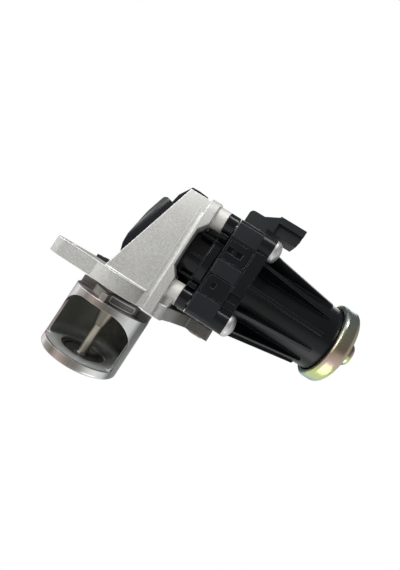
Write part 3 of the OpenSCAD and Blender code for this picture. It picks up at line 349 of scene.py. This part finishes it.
# Painted highlight and shade: light and dark bands, three to a turn round the stem.
stem_painted_highlight = around.math("SINE", around * 3.0 - 0.6) * 0.5 + 0.5
shank = browned.blend(soot * 0.3 + stem_painted_highlight * 0.7, (0.26, 0.215, 0.16), (0.86, 0.82, 0.70))
browned_look = browned.surface(
    Base_Color=browned.blend(z.above(guide_end, 0.0002) * 0.8, shank, (0.17, 0.155, 0.13)),
    Metallic=0.75,
    Roughness=0.30 + soot * 0.2,
    Normal=browned.bump(soot, 0.00003),
)
dress(browned_look, "valve_stem", "stem_guide")
sooted = Finish("sooted_seat")
sooted.place()
soot = sooted.noise(500.0, 3.0)
sooted_look = sooted.surface(
    Base_Color=sooted.blend(soot, (0.06, 0.058, 0.055), (0.30, 0.29, 0.27)),
    Metallic=0.8,
    Roughness=0.24 + soot * 0.2,
    Normal=sooted.bump(soot, 0.00002),
)
dress(sooted_look, "seat_ring", "valve_head")


# Black mouldings: glass-filled nylon, glossier where the mould was polished. The gear housing is made
# darker as painted shade, for the deep notch it sits in. Fine grain breaks the reflections, and the edges
# are a little grey, for wear and for a painted highlight. The rubber seals, the pressed carbon
# brushes and the sensor's board differ only in colour and gloss.
def moulded(name, deep, pale, rough, sheen, *names):
    """A moulded finish whose colour lies between deep and pale. The sheen is its Specular IOR Level."""
    skin = Finish(name)
    skin.place()
    flow, grain = skin.noise(45.0, 3.0), skin.noise(1500.0, 2.0)
    # Edges go grey: wear and a painted highlight.
    moulded_wear_and_highlight = skin.edges(0.0004)
    dress(skin.surface(
        Base_Color=skin.blend(moulded_wear_and_highlight * 0.6, skin.blend(flow, deep, pale), (0.085, 0.095, 0.105)),
        Roughness=rough + flow * 0.14,
        Specular_IOR_Level=sheen,
        Normal=skin.bump(grain, 0.00002, normal=skin.bevel),
    ), *names)
    return skin.block


black_block = moulded("black_motor_housing", (0.0026, 0.0038, 0.0052), (0.0070, 0.0090, 0.0115), 0.24, 0.34,
                      "motor_housing")
# Painted shade: the gear housing is darker than the motor housing, for the notch it sits in.
gloss = moulded("black_gear_housing", (0.0016, 0.0022, 0.0030), (0.0042, 0.0054, 0.0068), 0.14, 0.40,
                "gear_housing")
moulded("black_connector", (0.014, 0.0165, 0.018), (0.026, 0.029, 0.032), 0.34, 0.4, "connector_socket")
moulded("black_gear_cover", (0.0045, 0.0058, 0.0075), (0.011, 0.014, 0.018), 0.16, 0.5, "gear_cover")
moulded("brush_card_nylon", (0.10, 0.09, 0.07), (0.14, 0.13, 0.11), 0.5, 0.5, "brush_card")
rubber = moulded("seal_rubber", (0.010, 0.010, 0.010), (0.020, 0.020, 0.020), 0.7, 0.4,
                 "stem_seal", "gear_housing_seal", "motor_gasket", "cover_gasket")
moulded("brush_carbon", (0.02, 0.02, 0.02), (0.05, 0.05, 0.05), 0.6, 0.5, "carbon_brushes", "sensor_magnet")
moulded("board_mask", (0.01, 0.10, 0.05), (0.02, 0.16, 0.08), 0.35, 0.5, "sensor_board")


# Plates on the motor housing's block: raised pads, and snap tongues that lie in the block's pockets.
# They are moulded in one with the block, and the back has the same ones after half a turn.
motor_axis, block_face, pad_face = 45.25, 31.0, 33.0


def outline(x0, x1, z0, z1, radii, inset=0.0):
    """Rounded rectangle: a quarter circle of radius r - inset round each corner's centre, and the
    four are joined by straight sides."""
    turn = np.linspace(0.0, math.pi / 2, 7) + math.pi / 2 * np.arange(4)[:, None]
    radii = np.broadcast_to(radii, 4).astype(float)
    centre_x = np.array([x1, x0, x0, x1]) + radii * (-1, 1, 1, -1)
    centre_z = np.array([z1, z1, z0, z0]) + radii * (-1, -1, 1, 1)
    reach = np.maximum(radii - inset, 0.02)[:, None]
    x, z = centre_x[:, None] + reach * np.cos(turn), centre_z[:, None] + reach * np.sin(turn)
    return x.ravel(), z.ravel()


def plate(corners, radii, low, top, edge, hole=None):
    """Rings of a plate in x, depth and z: its outline rises from depth low to top over an edge of the
    given radius, and is then filled flat, or goes back down round a hole."""
    steps = [(0.0, low), (0.0, top - edge), (0.3 * edge, top - 0.3 * edge), (edge, top)]
    rings = [(*outline(*corners, radii, inset), depth) for inset, depth in steps]
    if hole:
        rings += [(*outline(*hole, 0.4, -inset), depth) for inset, depth in steps[::-1]]
    return np.array([np.stack([x, np.full_like(x, depth), z], -1) for x, z, depth in rings])


def flat_front(rings):
    """A depth becomes a distance in front of the motor axis's plane: y = -depth."""
    return rings * (1, -1, 1)


def half_turn(rings):
    """The same place on the back, half a turn round the motor's axis: y becomes -y, and z becomes
    twice the axis's height less z."""
    return rings * (1, -1, -1) + (0, 0, 2 * motor_axis)


def piece(name, finish, shells, body="housing"):
    """One mesh of closed shells. Ring i meets ring i + 1 in four-sided faces. The first and last ring
    are joined if the flag is set, and otherwise each is filled by one flat face. Lengths are in mm."""
    points, faces, start = [], [], 0
    for rings, joined in shells:
        count, sides = rings.shape[:2]
        index = start + np.arange(count * sides).reshape(count, sides)
        rows = np.vstack([index, index[:1]]) if joined else index
        near, far = rows[:-1], rows[1:]
        faces += np.stack([near, np.roll(near, -1, 1), np.roll(far, -1, 1), far], -1).reshape(-1, 4).tolist()
        if not joined:
            faces += [index[0, ::-1].tolist(), index[-1].tolist()]
        points.append(rings.reshape(-1, 3) * 0.001)
        start += count * sides
    mesh = bpy.data.meshes.new(name)
    mesh.from_pydata(np.concatenate(points).tolist(), [], faces)
    work = bmesh.new()
    work.from_mesh(mesh)
    bmesh.ops.recalc_face_normals(work, faces=work.faces)
    work.to_mesh(mesh)
    work.free()
    mesh.materials.append(finish)
    made = bpy.data.objects.new(name, mesh)
    scene.collection.objects.link(made)
    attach(made, body)
    return made


pads = [plate((45.5, 61.8, 64.6, 74.2), 0.8, block_face, pad_face, 0.25),
        plate((45.8, 61.7, 40.9, 49.7), 0.5, block_face, pad_face, 0.25),
        plate((45.8, 61.8, 15.2, 27.0), 0.8, block_face, pad_face, 0.25)]
tongues = [plate((46.5, 60.9, 51.1, 63.2), (3, 0.7, 0.7, 3), 30.9, 32.5, 0.3, (47.4, 57.0, 55.3, 59.0)),
           plate((46.5, 61.6, 28.3, 40.4), (0.7, 3, 0.7, 0.7), 30.9, 32.7, 0.3, (50.2, 53.1, 33.1, 36.4)),
           plate((62.2, 69.2, 37.0, 64.6), 0.7, 30.8, 32.75, 0.3),
           plate((60.9, 63.6, 37.0, 40.35), 0.3, 30.8, 32.68, 0.2),
           plate((62.2, 69.6, 27.2, 31.8), 0.5, 30.8, 31.9, 0.25)]
holed = [len(rings) == 8 for rings in tongues]
dusty_block = moulded("dusty_block_pads", (0.005, 0.0068, 0.0082), (0.016, 0.0205, 0.024), 0.30, 0.45)
for place, way in (("front", flat_front), ("back", lambda rings: half_turn(flat_front(rings)))):
    piece("block_pads_" + place, dusty_block, [(way(rings), False) for rings in pads])
    piece("snap_tongues_" + place, black_block,
          [(way(rings), joined) for rings, joined in zip(tongues, holed)])

# Rim of the gear housing: a round collar behind the joint with the motor, with two small feet on
# each side. It is moulded in one with the gear housing and is the glossy band in the plate's notch.
profile = np.array([(38.7, 25.5), (38.7, 30.2), (39.1, 30.6), (43.8, 30.6), (44.2, 30.2), (44.2, 25.5)])
turn = np.linspace(0.0, 2 * math.pi, 128, endpoint=False)[:, None]
along, out = profile[None, :, 0], profile[None, :, 1]
collar = np.stack([along + 0 * turn, out * np.sin(turn), motor_axis + out * np.cos(turn)], -1)
foot_height = 2.8
feet = [flat_front(plate((38.4, 44.1, low, low + foot_height), 0.4, 24.0, 31.6, 0.3)) for low in (60.8, 26.9)]
piece("gear_housing_collar", gloss,
      [(collar, True)] + [(way(rings), False) for rings in feet for way in (lambda r: r, half_turn)])

# Pad on the cage's neck with a raised frame round a bare field. Pad and frame are cast, and stand
# between the cage's shelf and the flange. The frame's pale colour is wear from handling and a painted
# highlight, as on the casting's ribs.
neck_radius = 19.3
worn_and_highlit_finish = Finish("worn_and_highlit_casting")
worn_and_highlit_finish.place()
grain = worn_and_highlit_finish.noise(1800.0, 2.0)
# Painted highlight: a pale colour, besides wear, so the rims and ribs read as bright lines.
worn_and_highlit_look = worn_and_highlit_finish.surface(
    Base_Color=worn_and_highlit_finish.blend(grain, (0.72, 0.72, 0.69), (0.92, 0.92, 0.90)),
    Metallic=0.35,
    Roughness=0.40,
    Normal=worn_and_highlit_finish.bump(grain, 0.00003),
)


def round_neck(rings):
    """A flat ring is cut into 160 even steps and bent round the neck: x becomes an arc's length at the
    neck's radius, and the depth becomes the distance from the stem's axis."""
    closed = np.concatenate([rings, rings[:, :1]], axis=1)
    length = np.concatenate([[0.0], np.cumsum(np.linalg.norm(np.diff(closed[0], axis=0), axis=1))])
    even = np.linspace(0.0, length[-1], 160, endpoint=False)
    x, out, z = (np.array([np.interp(even, length, ring[:, k]) for ring in closed]) for k in range(3))
    return np.stack([out * np.sin(x / neck_radius), -out * np.cos(x / neck_radius), z], -1)


frame_rings = plate((1.7, 20.5, -8.1, -3.3), 1.5, 19.0, 19.7, 0.2, (2.5, 19.7, -7.3, -4.1))
turn = np.linspace(0.045, 1.36, 48)[:, None]
profile = np.array([
    (15.0, -8.58), (19.0, -8.58), (neck_radius, -8.3), (neck_radius, -2.7), (19.0, -2.4), (15.0, -2.4)])
out, up = profile[None, :, 0], profile[None, :, 1]
pad = np.stack([out * np.sin(turn), -out * np.cos(turn), up + 0 * turn], -1)
piece("neck_frame", sooted_look, [(pad, False)])
piece("neck_frame_rim", worn_and_highlit_look, [(round_neck(frame_rings), True)])


# Rounded ribs of the casting: the foot of the wedge's wall, the step beside the motor plate and the
# thin rim along the flange's upper front edge. They are cast in one with the housing, and their pale colour is
# wear from handling and a painted highlight that makes them show as bright lines.
def bead(path, radius, sides=12):
    """A circle of the given radius carried along a path of points, and turned square to the path at
    each one."""
    path = np.array(path, float)
    way = np.gradient(path, axis=0)
    way /= np.linalg.norm(way, axis=1, keepdims=True)
    across = np.cross(way, (0.0, 0.6, 0.8))
    across /= np.linalg.norm(across, axis=1, keepdims=True)
    up = np.cross(across, way)
    turn = np.linspace(0.0, 2 * math.pi, sides, endpoint=False)[:, None]
    return path[:, None] + radius * (across[:, None] * np.cos(turn) + up[:, None] * np.sin(turn))


wall_depth, flange_radius, rim_height, rim_stop = 21.95, 28.5, 10.1, 22.0
ear_depth, ear_radius, step_radius = 14.5, 9.3, 0.22
ear_front = -ear_depth - ear_radius
foot = [(-11.4, -wall_depth, 10.75), (18.9, -wall_depth, 10.75)]
step = [(18.7, -wall_depth, 10.9), (18.9, -wall_depth, 72.0)]
sweep = np.linspace(math.asin(-ear_front / flange_radius) - math.pi, -math.asin(rim_stop / flange_radius), 40)
rim = [(-45.8, -21.8, rim_height), (-40.0, ear_front, rim_height)]
rim += [(flange_radius * math.cos(a), flange_radius * math.sin(a), rim_height) for a in sweep]
piece("casting_ribs_front", worn_and_highlit_look,
      [(bead(path, radius), False) for path, radius in ((foot, 0.55), (step, step_radius), (rim, 0.28))])
piece("casting_ribs_back", worn_and_highlit_look,
      [(bead([(x, -y, z) for x, y, z in step], step_radius), False)])

# Nose of the stem guide: a steel sleeve that tapers down the stem from the gas chamber's roof. It is
# pressed over the guide and browned by hot exhaust gas.
profile = np.array([
    (3.62, -27.4), (3.95, -27.4), (5.9, -19.4), (6.7, -16.65), (4.55, -16.65), (4.5, -17.0), (3.7, -25.3)])
turn = np.linspace(0, 2 * math.pi, 64, endpoint=False)[:, None]
out, up = profile[None, :, 0], profile[None, :, 1]
sleeve = np.stack([out * np.cos(turn), out * np.sin(turn), up + 0 * turn], -1)
piece("guide_nose", browned_look, [(sleeve, True)])

# Tab of the cover's gasket: a tongue of black rubber that lies on the flange beside the wedge. It is
# moulded in one with the gasket and held by the cover.
tab = flat_front(plate((-30.8, -21.6, 10.3, 12.5), 0.5, -13.0, -6.0, 0.3))
piece("gasket_tab", rubber, [(tab, False)])

# End cap: deep-drawn steel sheet, rolled over the barrel's end flange and plated with yellow
# chromated zinc, which shows pink, green and blue bands where the film's thickness changes. The bands
# are laid by the angle round the cap from top to bottom, so their light and dark parts are painted reflection.
zinc = Finish("yellow_zinc_cap")
x, y, z = zinc.place()
film, fleck = zinc.noise(30.0, 2.0), zinc.noise(140.0, 3.0, 0.6)
cap_middle = 0.134
angle = z.math("ARCTAN2", z - motor_axis * 0.001, y * -1.0)
# Painted reflection: the bands follow the angle round the cap from top to bottom.
order = 0.46 - angle * 0.34 + (film - 0.5) * 0.35 + (fleck - 0.5) * 0.10 + (x - cap_middle) * 9.0
band = order.math("FRACT", order)
colours = zinc.node("ValToRGB", {"stops": [
    (0.0, (0.30, 0.34, 0.34)), (0.16, (0.46, 0.52, 0.50)), (0.30, (0.50, 0.50, 0.38)),
    (0.44, (0.40, 0.32, 0.22)), (0.54, (0.62, 0.46, 0.42)), (0.66, (0.66, 0.74, 0.30)),
    (0.80, (0.70, 0.80, 0.44)), (0.90, (0.36, 0.60, 0.54)), (1.0, (0.30, 0.34, 0.34))]}, {"Fac": band})
fine = zinc.noise(1800.0, 2.0)
dress(zinc.surface(
    Base_Color=colours, Metallic=0.95, Roughness=0.20 + fleck * 0.12,
    Normal=zinc.bump(fine, 0.00002, edge=0.0002),
), "end_cap")


# Housing screws and the other bright fasteners: cold-headed steel with a matte zinc skin.
def steel(name, deep, pale, rough, *names):
    """A metal whose colour lies between deep and pale, with a fine mottle in its finish."""
    skin = Finish(name)
    skin.place()
    mottle = skin.noise(420.0, 3.0)
    dress(skin.surface(
        Base_Color=skin.blend(mottle, deep, pale),
        Metallic=1.0,
        Roughness=rough + mottle * 0.15,
        Normal=skin.bump(mottle, 0.00002),
    ), *names)
    return skin.block


steel("matte_zinc_screws", (0.58, 0.58, 0.57), (0.74, 0.74, 0.73), 0.42, "housing_screws", "cover_screws")

# Drive inside the housing: steel crank, gears, shafts and bearings, bronze bushes, a copper-wound
# armature on its shaft and ferrite magnets in a rolled steel ring.
steel("machined_steel", (0.42, 0.42, 0.44), (0.56, 0.56, 0.58), 0.30,
      "crosshead", "output_crank", "planet_carrier", "spring_seat")
steel("ground_steel", (0.58, 0.58, 0.60), (0.70, 0.70, 0.72), 0.18,
      "crank_roller", "planet_pins", "rotor_shaft", "front_bearing", "rear_bearing")
steel("gear_steel", (0.40, 0.39, 0.37), (0.54, 0.53, 0.50), 0.32,
      "planet_gear_1", "planet_gear_2", "planet_gear_3", "ring_gear")
steel("bronze", (0.46, 0.30, 0.14), (0.60, 0.42, 0.22), 0.36, "output_bushes", "sun_pinion")
steel("plated_contacts", (0.66, 0.52, 0.26), (0.80, 0.68, 0.40), 0.25, "contact_pins")
steel("copper", (0.52, 0.22, 0.10), (0.70, 0.36, 0.20), 0.30, "armature_windings", "commutator")
steel("magnet_and_core_iron", (0.12, 0.12, 0.13), (0.22, 0.22, 0.23), 0.5, "armature_core", "field_magnets")
steel("rolled_flux_steel", (0.34, 0.34, 0.35), (0.46, 0.46, 0.47), 0.4, "flux_ring", "bearing_plate")

# Return spring: hardened steel wire, wound to five open turns with a closed turn at each end. It stands
# on its seat round the stem, at one length; the real spring gets shorter as the crosshead comes down.
spring_wire = steel("spring_wire", (0.30, 0.31, 0.33), (0.44, 0.45, 0.47), 0.28)
foot_of_spring, top_of_spring = (corner[2] * 1000 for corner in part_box("return_spring"))
wire_radius, coil_radius, open_turns, valve_travel = 0.9, 5.7, 5, 6.85
flatness = 0.96
closed_pitch = 1.96 * wire_radius
rise = top_of_spring - foot_of_spring - 2 * wire_radius
wound = np.linspace(0.0, open_turns + 2, 336)[:, None]
climb = np.interp(wound, [0, 1, open_turns + 1, open_turns + 2], [0, closed_pitch, rise - closed_pitch, rise])
wrap = np.linspace(0.0, 2 * math.pi, 10, endpoint=False)
out = coil_radius + wire_radius * np.cos(wrap)
up = foot_of_spring + wire_radius + climb + wire_radius * flatness * np.sin(wrap)
coils = np.stack([out * np.cos(2 * math.pi * wound), out * np.sin(2 * math.pi * wound), up], -1)
spring = piece("wound_spring", spring_wire, [(coils, False)])
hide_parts("return_spring")
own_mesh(spring)
